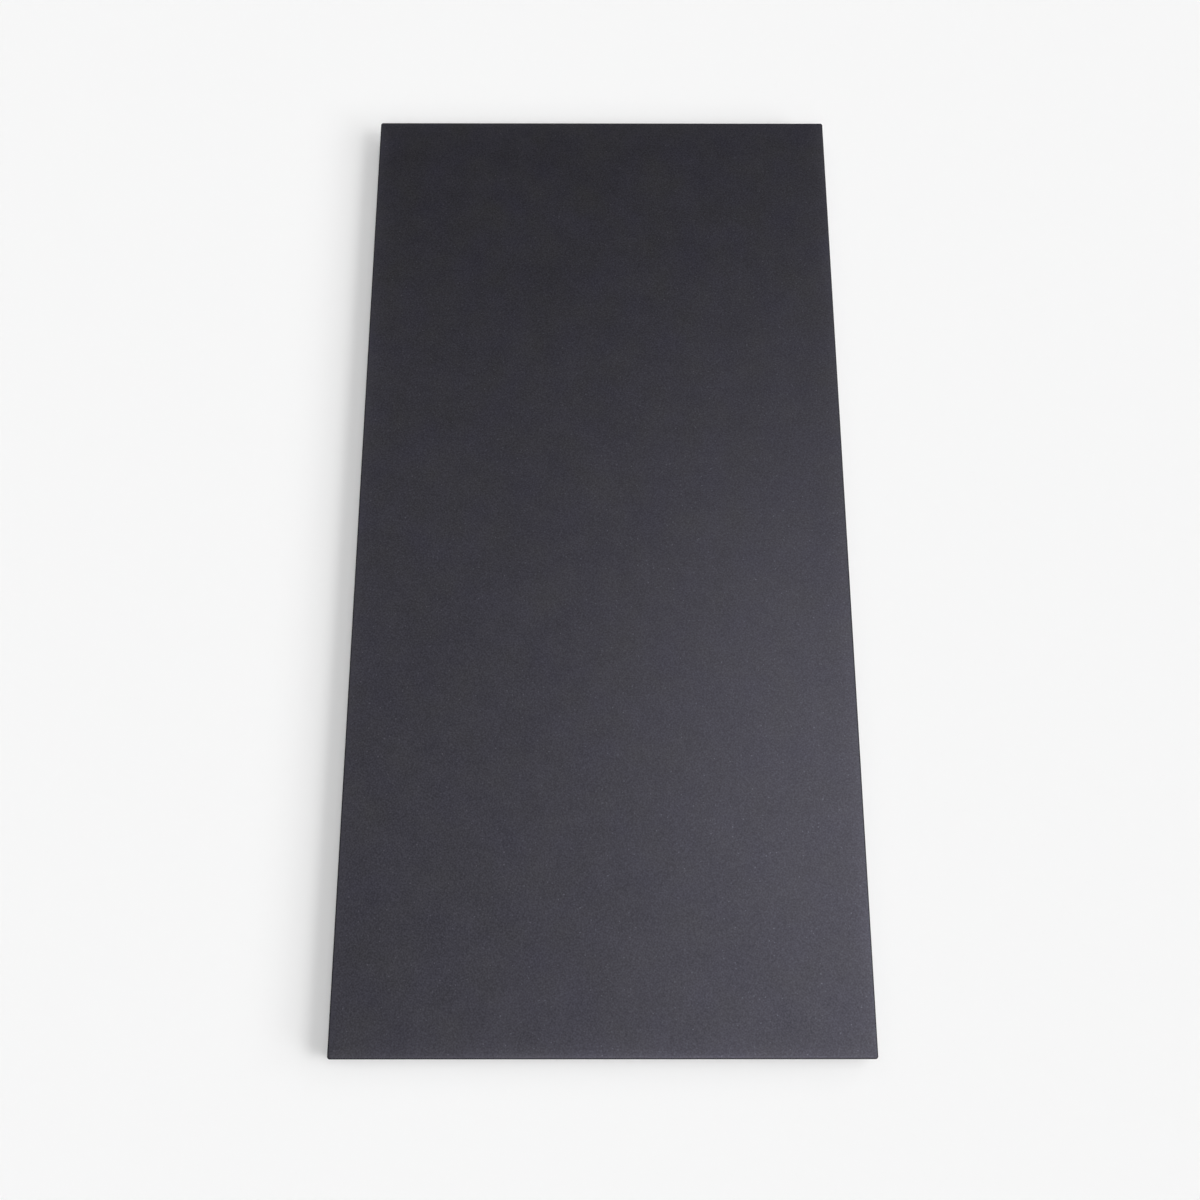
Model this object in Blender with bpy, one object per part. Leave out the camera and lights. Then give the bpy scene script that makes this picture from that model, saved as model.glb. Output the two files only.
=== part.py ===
"""Laminated rubber cutting board, modelled piece by piece.

Two rubber faces are bonded over a core of pale wood, so that the board can be turned over and used on
either side. The core is a row of staves glued edge to edge, and four rubber rails close it in all round,
so that no wood shows and no water gets in.

Units are metres and +Z is up. The origin is at the middle of the underside. The length runs along Y,
with the front end at -Y, and the width runs along X.
"""

import math

import bmesh
import bpy

# Whole board
BOARD_LENGTH = 0.600
BOARD_WIDTH = 0.300
BOARD_THICKNESS = 0.020
CORNER_RADIUS = 0.0015      # upright corners, seen from above
EDGE_RADIUS = 0.001         # rim of each cutting face

# Layers and pieces
FACE_THICKNESS = 0.005      # one rubber face
RAIL_WIDTH = 0.015          # one edge rail, from the outside to the wood
STAVE_COUNT = 6
BOND_LINE = 0.0003          # room for the bond between any two pieces

# Smoothness of the rounded edges
CORNER_SEGMENTS = 8
EDGE_SEGMENTS = 4
SHARP_ANGLE = math.radians(30)

# Finishes, each a linear colour and a roughness
FACE_RUBBER = ((0.030, 0.029, 0.034), 0.60)
RAIL_RUBBER = ((0.026, 0.025, 0.029), 0.55)
PALE_WOOD = ((0.58, 0.42, 0.25), 0.75)

# Sizes that follow
CORE_THICKNESS = BOARD_THICKNESS - 2 * (FACE_THICKNESS + BOND_LINE)
CORE_LENGTH = BOARD_LENGTH - 2 * (RAIL_WIDTH + BOND_LINE)
CORE_WIDTH = BOARD_WIDTH - 2 * (RAIL_WIDTH + BOND_LINE)
STAVE_WIDTH = (CORE_WIDTH - (STAVE_COUNT - 1) * BOND_LINE) / STAVE_COUNT
MIDDLE_HEIGHT = BOARD_THICKNESS / 2


def clear_scene():
    """Remove every object that the file starts with."""
    for obj in list(bpy.data.objects):
        bpy.data.objects.remove(obj)


def make_material(name, finish):
    """A plain material from a linear colour and a roughness."""
    colour, roughness = finish
    material = bpy.data.materials.new(name)
    material.use_nodes = True
    shader = material.node_tree.nodes["Principled BSDF"]
    shader.inputs["Base Color"].default_value = (*colour, 1.0)
    shader.inputs["Roughness"].default_value = roughness
    shader.inputs["Metallic"].default_value = 0.0
    return material


def round_edges(shape, edges, radius, segments):
    """Round the given edges of a shape."""
    bmesh.ops.bevel(
        shape,
        geom=edges,
        offset=radius,
        offset_type="OFFSET",
        segments=segments,
        profile=0.5,
        affect="EDGES",
        clamp_overlap=True,
    )


def upright_edges(shape, side):
    """The upright edges of a box: those on one side of it in X, or all of them if side is 0."""
    uprights = []
    for edge in shape.edges:
        start, end = (vert.co for vert in edge.verts)
        is_upright = start.x == end.x and start.y == end.y
        if is_upright and side * start.x >= 0:
            uprights.append(edge)
    return uprights


def rim_edges(shape, side):
    """The edges round the top of a shape, or round its bottom if side is -1."""
    outermost = max(shape.faces, key=lambda face: side * face.calc_center_median().z)
    return list(outermost.edges)


class Board:
    """The collection that holds the pieces, and the empty that carries them."""

    def __init__(self, name):
        self.pieces = bpy.data.collections.new(name)
        bpy.context.scene.collection.children.link(self.pieces)
        self.origin = bpy.data.objects.new(name + "_origin", None)
        self.pieces.objects.link(self.origin)

    def add(self, name, shape, centre, finish):
        """Turn a shape into a named piece of the board, centred on a point."""
        mesh = bpy.data.meshes.new(name)
        shape.to_mesh(mesh)
        shape.free()
        mesh.shade_smooth()
        mesh.set_sharp_from_angle(angle=SHARP_ANGLE)
        mesh.materials.append(make_material(name, finish))
        piece = bpy.data.objects.new(name, mesh)
        piece.location = centre
        piece.parent = self.origin
        self.pieces.objects.link(piece)


def box(size):
    """A box about the origin."""
    shape = bmesh.new()
    bmesh.ops.create_cube(shape, size=1.0)
    bmesh.ops.scale(shape, vec=size, verts=shape.verts)
    return shape


def add_face(board, name, side):
    """A rubber face with round corners and a round rim, above the core (1) or below it (-1)."""
    shape = box((BOARD_WIDTH, BOARD_LENGTH, FACE_THICKNESS))
    round_edges(shape, upright_edges(shape, 0), CORNER_RADIUS, CORNER_SEGMENTS)
    round_edges(shape, rim_edges(shape, side), EDGE_RADIUS, EDGE_SEGMENTS)
    height = MIDDLE_HEIGHT + side * (BOARD_THICKNESS - FACE_THICKNESS) / 2
    board.add(name, shape, (0, 0, height), FACE_RUBBER)


def add_side_rail(board, name, side):
    """A rail the whole length of the board, with the two corners on its outer side rounded."""
    shape = box((RAIL_WIDTH, BOARD_LENGTH, CORE_THICKNESS))
    round_edges(shape, upright_edges(shape, side), CORNER_RADIUS, CORNER_SEGMENTS)
    across = side * (BOARD_WIDTH - RAIL_WIDTH) / 2
    board.add(name, shape, (across, 0, MIDDLE_HEIGHT), RAIL_RUBBER)


def add_end_rail(board, name, side):
    """A square-ended rail that closes the core between the two side rails."""
    shape = box((CORE_WIDTH, RAIL_WIDTH, CORE_THICKNESS))
    along = side * (BOARD_LENGTH - RAIL_WIDTH) / 2
    board.add(name, shape, (0, along, MIDDLE_HEIGHT), RAIL_RUBBER)


def add_core(board):
    """The staves of the core, side by side from left to right."""
    pitch = STAVE_WIDTH + BOND_LINE
    for index in range(STAVE_COUNT):
        shape = box((STAVE_WIDTH, CORE_LENGTH, CORE_THICKNESS))
        across = (index - (STAVE_COUNT - 1) / 2) * pitch
        board.add(f"core_stave_{index + 1}", shape, (across, 0, MIDDLE_HEIGHT), PALE_WOOD)


def main():
    clear_scene()
    board = Board("rubber_cutting_board")
    add_face(board, "top_face", 1)
    add_face(board, "bottom_face", -1)
    add_side_rail(board, "left_rail", -1)
    add_side_rail(board, "right_rail", 1)
    add_end_rail(board, "front_rail", -1)
    add_end_rail(board, "rear_rail", 1)
    add_core(board)


main()
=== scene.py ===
"""Looks of the laminated rubber cutting board: fine surfaces, finishes, floor, light and camera.

Units are metres, in the frame of the solids: +Z is up and the front end is at -Y.
"""

import math

import bmesh
import bpy
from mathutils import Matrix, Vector


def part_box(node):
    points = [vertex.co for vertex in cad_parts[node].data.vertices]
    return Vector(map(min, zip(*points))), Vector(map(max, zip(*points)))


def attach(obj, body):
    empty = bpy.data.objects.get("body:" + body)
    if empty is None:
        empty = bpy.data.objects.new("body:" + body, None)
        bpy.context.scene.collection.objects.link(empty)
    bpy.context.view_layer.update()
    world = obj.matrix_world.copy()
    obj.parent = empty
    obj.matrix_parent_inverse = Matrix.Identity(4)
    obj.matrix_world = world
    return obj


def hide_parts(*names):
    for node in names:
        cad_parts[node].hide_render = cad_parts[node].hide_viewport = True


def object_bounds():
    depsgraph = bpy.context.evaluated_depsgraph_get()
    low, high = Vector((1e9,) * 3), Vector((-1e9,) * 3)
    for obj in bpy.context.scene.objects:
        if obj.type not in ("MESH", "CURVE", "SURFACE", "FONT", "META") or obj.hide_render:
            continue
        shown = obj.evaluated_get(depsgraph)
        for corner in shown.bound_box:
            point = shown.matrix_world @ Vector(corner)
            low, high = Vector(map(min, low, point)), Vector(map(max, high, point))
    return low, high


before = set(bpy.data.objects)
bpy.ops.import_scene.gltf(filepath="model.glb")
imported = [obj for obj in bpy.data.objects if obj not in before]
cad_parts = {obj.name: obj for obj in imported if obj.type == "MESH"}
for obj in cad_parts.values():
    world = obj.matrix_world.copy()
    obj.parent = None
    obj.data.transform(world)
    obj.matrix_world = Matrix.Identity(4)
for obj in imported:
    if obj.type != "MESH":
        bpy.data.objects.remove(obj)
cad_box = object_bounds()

# Shape of the fine surfaces
CORNER_RADIUS = 0.0015       # upright corners, as on the solids
INNER_RADIUS = 0.0004        # least corner radius of the levels inside the outline
RIM_RADIUS = 0.001           # rim of each cutting face, as on the solids
SEAM_ARRIS = 0.00012         # tiny broken edge on each side of a seam
CORNER_STEPS = 20
RIM_STEPS = 8
ROLL_WIDTH = 0.010           # each cutting face dips a little towards its rim, over this width
ROLL_DROP = 0.00015          # depth of that dip at the rim
ROLL_STEPS = 5
FLAT_MARGIN = 0.002          # flat ring inside the dip, which keeps the shading of the face level
BOND_SET_BACK = 0.0002       # the bond shows as a fine line, just below the surface
BOND_CLEARANCE = 0.00002
SHARP_ANGLE = math.radians(30)
LEVEL_FACE = 0.98            # a face whose normal rises more than this takes the cutting finish
ROUND_CORNERS = (CORNER_RADIUS,) * 4
SQUARE_CORNERS = (0.0,) * 4

# Layers of ever finer noise in a pattern, unless it has its own value
NOISE_DETAIL = 2.0

# Rubber of the cutting faces. Tones are parts of the colour, sizes are in metres.
FACE_COLOUR = (0.0185, 0.0180, 0.0219)
FACE_ROUGHNESS = 0.34
FACE_SHINE = 0.443
FACE_SHINE_TINT = (1.03, 1.0, 1.23)
GRAIN_SIZE = 0.0009
GRAIN_DETAIL = 0.0
GRAIN_TURN = (35, 25, 30)    # degrees, so that the grain lines up with no edge
GRAIN_TILT = 0.06            # slope of the grains, from side to side
GRAIN_TONE = 0.68
GRAIN_PEAK = 1.3             # above 1, bright points stand out more than dark ones
GRAIN_MIDDLE = 0.416         # mean of the grain after that
GRAIN_ROUGHNESS = 0.05
CLOUD_SIZE = 0.014
CLOUD_TONE = 0.20
CLOUD_ROUGHNESS = 0.05
MOTTLE_SIZE = 0.035
MOTTLE_DETAIL = 3.0
MOTTLE_TONE = 0.30
HUE_SIZE = 0.024
HUE_SHIFT = (0.0026, 0.0032, -0.0076)
SPECK_SPACING = 0.0031
SPECK_RADIUS = 0.0005
SPECK_CORE = 0.5             # part of the radius up to which a speck keeps its brightness
# Painted glint: besides their extra shine, the specks are also painted paler in the colour
SPECK_PAINTED_GLINT = 0.25
SPECK_SHINE = 1.2
SPECK_RARITY = 1.6           # the higher, the fewer of the specks are bright
# Painted light: each cutting face is painted paler in a band along its outline, standing in for light at
# the edges
RIM_LIGHT_WIDTH = 0.004
RIM_LIGHT_TONE = 0.65

# Rubber of the rims and edges, trimmed by a cutter that ran level round the board
TRIM_COLOUR = (0.0140, 0.0136, 0.0162)
TRIM_ROUGHNESS = 0.58
TRIM_SHINE = 0.38
TRIM_SHINE_TINT = (0.845, 0.82, 1.0)
TRIM_GRAIN_SIZE = 0.0009
TRIM_GRAIN_TONE = 0.4
TRIM_LINE_SIZE = 0.0006
TRIM_LINE_STRETCH = 50
TRIM_LINE_TONE = 0.4
TRIM_LINE_ROUGHNESS = 0.15
TRIM_MOTTLE_SIZE = 0.015
TRIM_MOTTLE_TONE = 0.3
TRIM_BUMP = 0.4
TRIM_DEPTH = 0.00008

# Bond in the seams
BOND_COLOUR = (0.008, 0.008, 0.009)
BOND_ROUGHNESS = 0.4
BOND_RIPPLE_SIZE = 0.002
BOND_RIPPLE_TONE = 0.5
BOND_RIPPLE_ROUGHNESS = 0.2

# Wood of the core, with its grain along the board
WOOD_COLOUR = (0.58, 0.42, 0.25)
WOOD_ROUGHNESS = 0.72
RING_SIZE = 0.004
RING_DETAIL = 4.0
RING_STRETCH = 33
RING_TONE = 0.5
PORE_SIZE = 0.0006
PORE_STRETCH = 17
PORE_TONE = 0.25
PORE_ROUGHNESS = 0.2
PORE_BUMP = 0.3
PORE_DEPTH = 0.0001
STAVE_TONE = 0.2

# Photograph's camera, for a square image
CAMERA_PLACE = (-0.00339, -0.26443, 0.75870)
CAMERA_TURN = (16.960, -0.146, -0.028)
CAMERA_LENS = 38.460
CAMERA_SENSOR = 36.0

# Floor and light. A share is the part of the light on level ground that one lamp gives.
FLOOR_COLOUR = (0.925, 0.925, 0.925)
FLOOR_SIZE = 40.0
LIGHT_LEVEL = 1.005
FILL_SHARE = 0.03
LAMP_DISTANCE = 2.0
# Lamps as if far off. name: direction round from +X, height, softness, in degrees, and share
LAMPS = {
    "key": (0, 50, 20, 0.055),
    "key_rear": (45, 40, 20, 0.030),
    "rear_right": (60, 66, 20, 0.030),
    "overhead": (0, 90, 30, 0.015),
    "overhead_rear": (30, 74, 20, 0.095),
    "overhead_front": (-75, 68, 20, 0.230),
    "front": (-90, 52, 20, 0.150),
    "front_low": (-90, 30, 20, 0.010),
    "left": (150, 65, 40, 0.055),
}
NEAR_SOFTNESS = 20           # degrees, seen from the board
FLOOR_FALLOFF = 3            # a lamp's light on the floor fades with distance to this power
# Round lamps beside the board. name: direction round from +X, height, in degrees, and share
NEAR_LAMPS = {
    "side_low_front": (-30, 30, 0.080),
    "side_low": (0, 30, 0.040),
    "side_front": (-30, 50, 0.055),
    "side": (-15, 50, 0.100),
    "side_high": (-15, 60, 0.030),
}


def add_node(tree, kind, inputs=None, **settings):
    """Add a node. An input is a value, or another node's output to link."""
    node = tree.nodes.new(kind)
    for name, value in settings.items():
        setattr(node, name, value)
    for socket, value in (inputs or {}).items():
        if isinstance(value, bpy.types.NodeSocket):
            tree.links.new(value, node.inputs[socket])
        else:
            node.inputs[socket].default_value = value
    return node


def calculate(tree, operation, *values):
    """A sum, product or other step of arithmetic on numbers and outputs."""
    inputs = dict(enumerate(values))
    return add_node(tree, "ShaderNodeMath", inputs, operation=operation).outputs[0]


def calculate_vector(tree, operation, *values):
    """The same for vectors and colours."""
    inputs = dict(enumerate(values))
    return add_node(tree, "ShaderNodeVectorMath", inputs, operation=operation).outputs[0]


def scaled(tree, vector, amount):
    """A vector or colour times a number."""
    inputs = {0: vector, "Scale": amount}
    return add_node(tree, "ShaderNodeVectorMath", inputs, operation="SCALE").outputs[0]


def noise(tree, place, grain, detail=NOISE_DETAIL, output="Fac"):
    """Soft random values from 0 to 1, whose patches are about one grain across."""
    inputs = {"Vector": place, "Scale": 1 / grain, "Detail": detail}
    return add_node(tree, "ShaderNodeTexNoise", inputs).outputs[output]


def spread(tree, value, amount, middle=0.5):
    """Turn values about the middle, 0.5 in a noise, into values about 0, times the amount."""
    return calculate(tree, "MULTIPLY_ADD", value, amount, -amount * middle)


def vary(tree, level, value, amount, middle=0.5):
    """Raise and lower a level by values about the middle, times the amount."""
    return calculate(tree, "ADD", level, spread(tree, value, amount, middle))


def ramp(tree, value, start, end, low, high):
    """Go smoothly from low to high as a value goes from start to end."""
    inputs = {"Value": value, "From Min": start, "From Max": end, "To Min": low, "To Max": high}
    return add_node(tree, "ShaderNodeMapRange", inputs, interpolation_type="SMOOTHSTEP").outputs[0]


def stretched(tree, place, stretch):
    """The same place in a space that is stretched along its axes."""
    return add_node(tree, "ShaderNodeMapping", {"Vector": place, "Scale": stretch}).outputs[0]


def turned(tree, place, angles):
    """The same place in a space that is turned about its axes, by angles in degrees."""
    turn = [math.radians(angle) for angle in angles]
    return add_node(tree, "ShaderNodeMapping", {"Vector": place, "Rotation": turn}).outputs[0]


def start_material(name):
    """A new node material, its shader, and the place of each point in the board's frame."""
    material = bpy.data.materials.new(name)
    material.use_nodes = True
    tree = material.node_tree
    place = add_node(tree, "ShaderNodeTexCoord").outputs["Object"]
    return material, tree, tree.nodes["Principled BSDF"], place


def set_colour(tree, shader, colour, tone, socket="Base Color"):
    """Colour a surface or its shine, lighter and darker by a tone about 1."""
    tree.links.new(scaled(tree, colour, tone), shader.inputs[socket])


def specks(tree, place, spacing, radius, rarity):
    """Sparse glinting grains in the rubber, some bright and most faint: up to 1 in a grain, 0 elsewhere."""
    cells = add_node(tree, "ShaderNodeTexVoronoi", {"Vector": place, "Scale": 1 / spacing})
    size = radius / spacing
    grain = ramp(tree, cells.outputs["Distance"], SPECK_CORE * size, size, 1.0, 0.0)
    chance = add_node(tree, "ShaderNodeSeparateColor", {0: cells.outputs["Color"]}).outputs[0]
    return calculate(tree, "MULTIPLY", grain, calculate(tree, "POWER", chance, rarity))


def painted_rim_light(tree, place, width):
    """Mask of painted light along the edges: 1 at the board's outline, fading to 0 over the given width
    towards the middle.
    """
    low, high = cad_box
    half = Vector((high.x - low.x, high.y - low.y, 0)) / 2
    across = calculate_vector(tree, "ABSOLUTE", place)
    inward = calculate_vector(tree, "SUBTRACT", half, across)
    sides = add_node(tree, "ShaderNodeSeparateXYZ", {0: inward}).outputs
    distance = calculate(tree, "MINIMUM", sides["X"], sides["Y"])
    return calculate(tree, "EXPONENT", calculate(tree, "MULTIPLY", distance, -1 / width))


def tilted_grains(tree, grain, tilt):
    """The normal of a level face, leaning a little one way or another from grain to grain."""
    level = Vector((tilt, tilt, 0))
    lean = calculate_vector(tree, "MULTIPLY_ADD", grain, level, -level / 2)
    normal = add_node(tree, "ShaderNodeNewGeometry").outputs["Normal"]
    return calculate_vector(tree, "NORMALIZE", calculate_vector(tree, "ADD", normal, lean))


def face_rubber():
    """Matte charcoal rubber with a fine pressed grain, soft clouds, sparse shinier specks with a painted
    glint, and painted light along the rim.
    """
    material, tree, shader, place = start_material("face_rubber")
    grain = noise(tree, turned(tree, place, GRAIN_TURN), GRAIN_SIZE, GRAIN_DETAIL, "Color")
    grain_tone = add_node(tree, "ShaderNodeSeparateColor", {0: grain}).outputs[2]
    peaks = calculate(tree, "POWER", grain_tone, GRAIN_PEAK)
    cloud = noise(tree, place, CLOUD_SIZE)
    mottle = noise(tree, place, MOTTLE_SIZE, MOTTLE_DETAIL)
    rim_light = painted_rim_light(tree, place, RIM_LIGHT_WIDTH)
    speck = specks(tree, place, SPECK_SPACING, SPECK_RADIUS, SPECK_RARITY)
    tone = vary(tree, 1.0, peaks, GRAIN_TONE, GRAIN_MIDDLE)
    tone = vary(tree, tone, cloud, CLOUD_TONE)
    shine = calculate(tree, "MULTIPLY_ADD", speck, SPECK_SHINE, tone)
    set_colour(tree, shader, FACE_SHINE_TINT, shine, "Specular Tint")
    tone = vary(tree, tone, mottle, MOTTLE_TONE)
    # Painted light: the colour is made paler towards the outline
    tone = calculate(tree, "MULTIPLY_ADD", rim_light, RIM_LIGHT_TONE, tone)
    # Painted glint: the specks are made paler in the colour as well
    tone = calculate(tree, "MULTIPLY_ADD", speck, SPECK_PAINTED_GLINT, tone)
    warmth = spread(tree, noise(tree, place, HUE_SIZE), 1.0)
    colour = calculate_vector(tree, "ADD", FACE_COLOUR, scaled(tree, HUE_SHIFT, warmth))
    set_colour(tree, shader, colour, tone)
    shader.inputs["Specular IOR Level"].default_value = FACE_SHINE
    roughness = vary(tree, FACE_ROUGHNESS, cloud, CLOUD_ROUGHNESS)
    roughness = vary(tree, roughness, grain_tone, GRAIN_ROUGHNESS)
    tree.links.new(roughness, shader.inputs["Roughness"])
    tree.links.new(tilted_grains(tree, grain, GRAIN_TILT), shader.inputs["Normal"])
    return material


def trimmed_rubber():
    """The same rubber where it was trimmed: duller, with faint level lines from the cutter."""
    material, tree, shader, place = start_material("trimmed_rubber")
    grain = noise(tree, place, TRIM_GRAIN_SIZE)
    level = stretched(tree, place, (1 / TRIM_LINE_STRETCH, 1 / TRIM_LINE_STRETCH, 1.0))
    lines = noise(tree, level, TRIM_LINE_SIZE)
    mottle = noise(tree, place, TRIM_MOTTLE_SIZE)
    tone = vary(tree, 1.0, grain, TRIM_GRAIN_TONE)
    tone = vary(tree, tone, lines, TRIM_LINE_TONE)
    tone = vary(tree, tone, mottle, TRIM_MOTTLE_TONE)
    set_colour(tree, shader, TRIM_COLOUR, tone)
    shader.inputs["Specular IOR Level"].default_value = TRIM_SHINE
    shader.inputs["Specular Tint"].default_value = (*TRIM_SHINE_TINT, 1.0)
    roughness = vary(tree, TRIM_ROUGHNESS, lines, TRIM_LINE_ROUGHNESS)
    tree.links.new(roughness, shader.inputs["Roughness"])
    relief = {"Height": calculate(tree, "ADD", lines, grain), "Strength": TRIM_BUMP, "Distance": TRIM_DEPTH}
    bump = add_node(tree, "ShaderNodeBump", relief)
    tree.links.new(bump.outputs[0], shader.inputs["Normal"])
    return material


def bond():
    """The squeezed-out line of the bond, blacker and smoother than the rubber."""
    material, tree, shader, place = start_material("bond")
    ripple = noise(tree, place, BOND_RIPPLE_SIZE)
    tone = vary(tree, 1.0, ripple, BOND_RIPPLE_TONE)
    set_colour(tree, shader, BOND_COLOUR, tone)
    roughness = vary(tree, BOND_ROUGHNESS, ripple, BOND_RIPPLE_ROUGHNESS)
    tree.links.new(roughness, shader.inputs["Roughness"])
    return material


def core_wood(stave_pitch):
    """Pale planed wood, each stave with its own run of rings and a little lighter or darker."""
    material, tree, shader, place = start_material("core_wood")
    across = add_node(tree, "ShaderNodeSeparateXYZ", {0: place}).outputs["X"]
    stave = calculate(tree, "FLOOR", calculate(tree, "DIVIDE", across, stave_pitch))
    stave_tone = add_node(tree, "ShaderNodeTexWhiteNoise", {"W": stave}, noise_dimensions="1D")
    shift = add_node(tree, "ShaderNodeCombineXYZ", {"Y": stave, "Z": stave}).outputs[0]
    moved = calculate_vector(tree, "ADD", place, shift)
    rings = noise(tree, stretched(tree, moved, (1.0, 1 / RING_STRETCH, 1.0)), RING_SIZE, RING_DETAIL)
    pores = noise(tree, stretched(tree, moved, (1.0, 1 / PORE_STRETCH, 1.0)), PORE_SIZE)
    tone = vary(tree, 1.0, rings, RING_TONE)
    tone = vary(tree, tone, pores, PORE_TONE)
    tone = vary(tree, tone, stave_tone.outputs["Value"], STAVE_TONE)
    set_colour(tree, shader, WOOD_COLOUR, tone)
    roughness = vary(tree, WOOD_ROUGHNESS, pores, PORE_ROUGHNESS)
    tree.links.new(roughness, shader.inputs["Roughness"])
    relief = {"Height": pores, "Strength": PORE_BUMP, "Distance": PORE_DEPTH}
    bump = add_node(tree, "ShaderNodeBump", relief)
    tree.links.new(bump.outputs[0], shader.inputs["Normal"])
    return material


def outline(low, high, radii, inset, height):
    """One level of a piece: its rectangle drawn in by inset. radii are those of the corners at
    (right, rear), (left, rear), (left, front) and (right, front), and 0 is a square corner."""
    points = []
    signs = ((1, 1), (-1, 1), (-1, -1), (1, -1))
    for quarter, ((right, rear), radius) in enumerate(zip(signs, radii)):
        x = high.x if right > 0 else low.x
        y = high.y if rear > 0 else low.y
        steps = CORNER_STEPS if radius else 0
        bend = max(radius - inset, INNER_RADIUS) if radius else 0.0
        reach = inset + bend
        for step in range(steps + 1):
            turn = math.radians(90) * (quarter + (step / steps if steps else 0.5))
            points.append((
                x - right * reach + bend * math.cos(turn),
                y - rear * reach + bend * math.sin(turn),
                height,
            ))
    return points


def loft(name, levels):
    """A closed piece through the given levels."""
    shape = bmesh.new()
    rings = [[shape.verts.new(point) for point in level] for level in levels]
    for lower, upper in zip(rings, rings[1:]):
        for here in range(len(lower)):
            after = (here + 1) % len(lower)
            shape.faces.new((lower[here], lower[after], upper[after], upper[here]))
    shape.faces.new(rings[0])
    shape.faces.new(rings[-1])
    bmesh.ops.recalc_face_normals(shape, faces=shape.faces)
    mesh = bpy.data.meshes.new(name)
    shape.to_mesh(mesh)
    shape.free()
    mesh.shade_smooth()
    mesh.set_sharp_from_angle(angle=SHARP_ANGLE)
    piece = bpy.data.objects.new(name, mesh)
    bpy.context.scene.collection.objects.link(piece)
    return piece


def finish_piece(piece, slot, *nodes):
    """Fix a piece to the board, and hide the solids that it stands for. The slot is not used."""
    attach(piece, "root")
    if nodes:
        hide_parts(*nodes)


def add_face(name, node, side, cutting, trimmed):
    """A cutting face: a broken edge at the seam, a wall, a round rim, a slight dip and the flat."""
    low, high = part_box(node)
    seam, top = (low.z, high.z) if side > 0 else (high.z, low.z)
    profile = [(SEAM_ARRIS, seam), (0.0, seam + side * SEAM_ARRIS)]
    for step in range(RIM_STEPS):
        turn = math.radians(90) * step / RIM_STEPS
        inset = RIM_RADIUS * (1 - math.cos(turn))
        profile.append((inset, top - side * (ROLL_DROP + RIM_RADIUS * (1 - math.sin(turn)))))
    for step in range(ROLL_STEPS + 1):
        way = step / ROLL_STEPS
        profile.append((RIM_RADIUS + ROLL_WIDTH * way, top - side * ROLL_DROP * (1 - way) ** 2))
    profile.append((RIM_RADIUS + ROLL_WIDTH + FLAT_MARGIN, top))
    piece = loft(name, [outline(low, high, ROUND_CORNERS, *level) for level in profile])
    piece.data.materials.append(cutting)
    piece.data.materials.append(trimmed)
    for face in piece.data.polygons:
        face.material_index = 0 if abs(face.normal.z) > LEVEL_FACE else 1
    finish_piece(piece, "face_rubber", node)


def add_rail(name, node, radii, trimmed):
    """An edge rail with its edges just broken along the seams."""
    low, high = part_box(node)
    profile = (
        (SEAM_ARRIS, low.z),
        (0.0, low.z + SEAM_ARRIS),
        (0.0, high.z - SEAM_ARRIS),
        (SEAM_ARRIS, high.z),
    )
    piece = loft(name, [outline(low, high, radii, *level) for level in profile])
    piece.data.materials.append(trimmed)
    finish_piece(piece, "rail_rubber", node)


def add_bond(name, low, high, radii, material):
    """A film of the bond, set back a little from the surfaces beside it."""
    profile = ((BOND_SET_BACK, low.z), (BOND_SET_BACK, high.z))
    piece = loft(name, [outline(low, high, radii, *level) for level in profile])
    piece.data.materials.append(material)
    finish_piece(piece, "rail_rubber")


def add_face_bonds(material):
    """The films between each face and the rails and core."""
    low, high = cad_box
    room = Vector((0, 0, BOND_CLEARANCE))
    layers = {"upper_bond": ("left_rail", "top_face"), "lower_bond": ("bottom_face", "left_rail")}
    for name, (under, over) in layers.items():
        start = Vector((low.x, low.y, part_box(under)[1].z))
        end = Vector((high.x, high.y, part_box(over)[0].z))
        add_bond(name, start + room, end - room, ROUND_CORNERS, material)


def add_rail_bonds(material):
    """The upright films where the rails meet. They fill their gaps across, so nothing is set back there."""
    room = Vector((BOND_CLEARANCE - BOND_SET_BACK, 0, 0))
    for name in ("front", "rear"):
        low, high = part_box(name + "_rail")
        start = Vector((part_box("left_rail")[1].x, *low.yz))
        end = Vector((low.x, *high.yz))
        add_bond(name + "_left_bond", start + room, end - room, SQUARE_CORNERS, material)
        start = Vector((high.x, *low.yz))
        end = Vector((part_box("right_rail")[0].x, *high.yz))
        add_bond(name + "_right_bond", start + room, end - room, SQUARE_CORNERS, material)


def dress_board():
    """Replace the rubber solids by fine surfaces, and give the wooden ones their finish."""
    cutting = face_rubber()
    trimmed = trimmed_rubber()
    add_face("upper_cutting_face", "top_face", 1, cutting, trimmed)
    add_face("lower_cutting_face", "bottom_face", -1, cutting, trimmed)
    add_rail("left_edge", "left_rail", (0.0, CORNER_RADIUS, CORNER_RADIUS, 0.0), trimmed)
    add_rail("right_edge", "right_rail", (CORNER_RADIUS, 0.0, 0.0, CORNER_RADIUS), trimmed)
    add_rail("front_edge", "front_rail", SQUARE_CORNERS, trimmed)
    add_rail("rear_edge", "rear_rail", SQUARE_CORNERS, trimmed)
    film = bond()
    add_face_bonds(film)
    add_rail_bonds(film)
    staves = [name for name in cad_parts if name.startswith("core_stave")]
    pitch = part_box("core_stave_2")[0].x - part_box("core_stave_1")[0].x
    wood = core_wood(pitch)
    for name in staves:
        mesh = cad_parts[name].data
        mesh.materials.clear()
        mesh.materials.append(wood)


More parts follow.
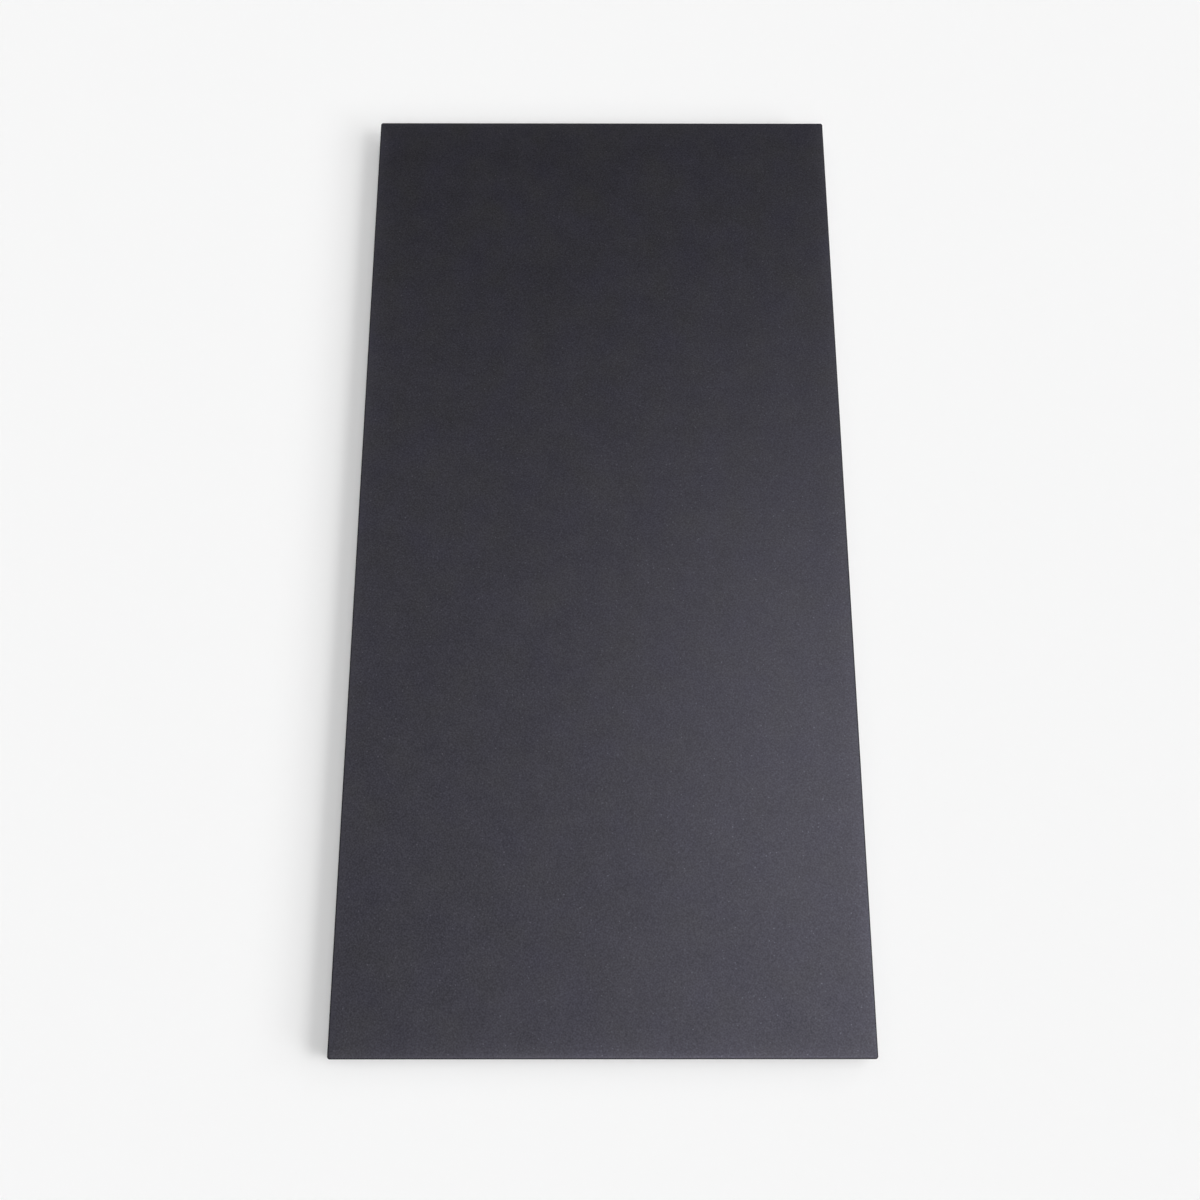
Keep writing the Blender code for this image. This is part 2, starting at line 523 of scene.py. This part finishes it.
def add_floor():
    """A plain pale floor under the board."""
    shape = bmesh.new()
    bmesh.ops.create_grid(shape, x_segments=1, y_segments=1, size=FLOOR_SIZE / 2)
    mesh = bpy.data.meshes.new("floor")
    shape.to_mesh(mesh)
    shape.free()
    floor = bpy.data.objects.new("floor", mesh)
    bpy.context.scene.collection.objects.link(floor)
    floor.location.z = cad_box[0].z
    material = bpy.data.materials.new("floor")
    material.use_nodes = True
    shader = material.node_tree.nodes["Principled BSDF"]
    shader.inputs["Base Color"].default_value = (*FLOOR_COLOUR, 1.0)
    shader.inputs["Roughness"].default_value = 1.0
    shader.inputs["Specular IOR Level"].default_value = 0.0
    mesh.materials.append(material)


def towards(direction, height):
    """The way to a lamp, from its direction round from +X and its height, in degrees."""
    turn = math.radians(direction)
    rise = math.radians(height)
    return Vector((math.cos(turn) * math.cos(rise), math.sin(turn) * math.cos(rise), math.sin(rise)))


def place_lamp(lamp, way):
    """Put a lamp on the way given, facing the middle of the board, out of the camera's sight."""
    holder = bpy.data.objects.new(lamp.name, lamp)
    holder.location = LAMP_DISTANCE * way
    holder.rotation_euler = way.to_track_quat("Z", "Y").to_euler()
    holder.visible_camera = False
    bpy.context.scene.collection.objects.link(holder)


def add_lamps():
    """Large soft lamps, far off, so that the floor is evenly lit."""
    for name, (direction, height, softness, share) in LAMPS.items():
        way = towards(direction, height)
        lamp = bpy.data.lights.new(name, "SUN")
        lamp.energy = math.pi * LIGHT_LEVEL * share / way.z
        lamp.angle = math.radians(softness)
        place_lamp(lamp, way)


def add_near_lamps():
    """Round lamps, whose shadows spread. They strengthen with distance, so that the floor is evenly lit."""
    for name, (direction, height, share) in NEAR_LAMPS.items():
        way = towards(direction, height)
        lamp = bpy.data.lights.new(name, "POINT")
        lamp.shadow_soft_size = LAMP_DISTANCE * math.tan(math.radians(NEAR_SOFTNESS) / 2)
        lamp.use_soft_falloff = True
        # Without the nodes below, the floor gets energy * above_floor / (4 * pi * distance ** 3)
        above_floor = LAMP_DISTANCE * way.z
        lamp.energy = 4 * math.pi ** 2 * LIGHT_LEVEL * share / above_floor
        lamp.use_nodes = True
        tree = lamp.node_tree
        distance = add_node(tree, "ShaderNodeLightPath").outputs["Ray Length"]
        strength = calculate(tree, "POWER", distance, FLOOR_FALLOFF)
        tree.links.new(strength, tree.nodes["Emission"].inputs["Strength"])
        place_lamp(lamp, way)


def add_world():
    """A weak even fill, which the camera sees as the same pale tone as the floor."""
    world = bpy.data.worlds.new("studio")
    bpy.context.scene.world = world
    world.use_nodes = True
    tree = world.node_tree
    fill = tree.nodes["Background"]
    fill.inputs["Strength"].default_value = FILL_SHARE * LIGHT_LEVEL
    fill.inputs["Color"].default_value = (1.0, 1.0, 1.0, 1.0)
    inputs = {"Color": (*FLOOR_COLOUR, 1.0), "Strength": LIGHT_LEVEL}
    backdrop = add_node(tree, "ShaderNodeBackground", inputs)
    seen = add_node(tree, "ShaderNodeLightPath").outputs["Is Camera Ray"]
    inputs = {0: seen, 1: fill.outputs[0], 2: backdrop.outputs[0]}
    mixed = add_node(tree, "ShaderNodeMixShader", inputs)
    tree.links.new(mixed.outputs[0], tree.nodes["World Output"].inputs["Surface"])


def add_camera():
    """The photograph's view, from above the front end."""
    data = bpy.data.cameras.new("camera")
    data.lens = CAMERA_LENS
    data.sensor_width = CAMERA_SENSOR
    camera = bpy.data.objects.new("camera", data)
    camera.location = CAMERA_PLACE
    camera.rotation_euler = [math.radians(angle) for angle in CAMERA_TURN]
    bpy.context.scene.collection.objects.link(camera)
    bpy.context.scene.camera = camera


bpy.context.scene.view_settings.view_transform = "Standard"
dress_board()
add_floor()
add_lamps()
add_near_lamps()
add_world()
add_camera()
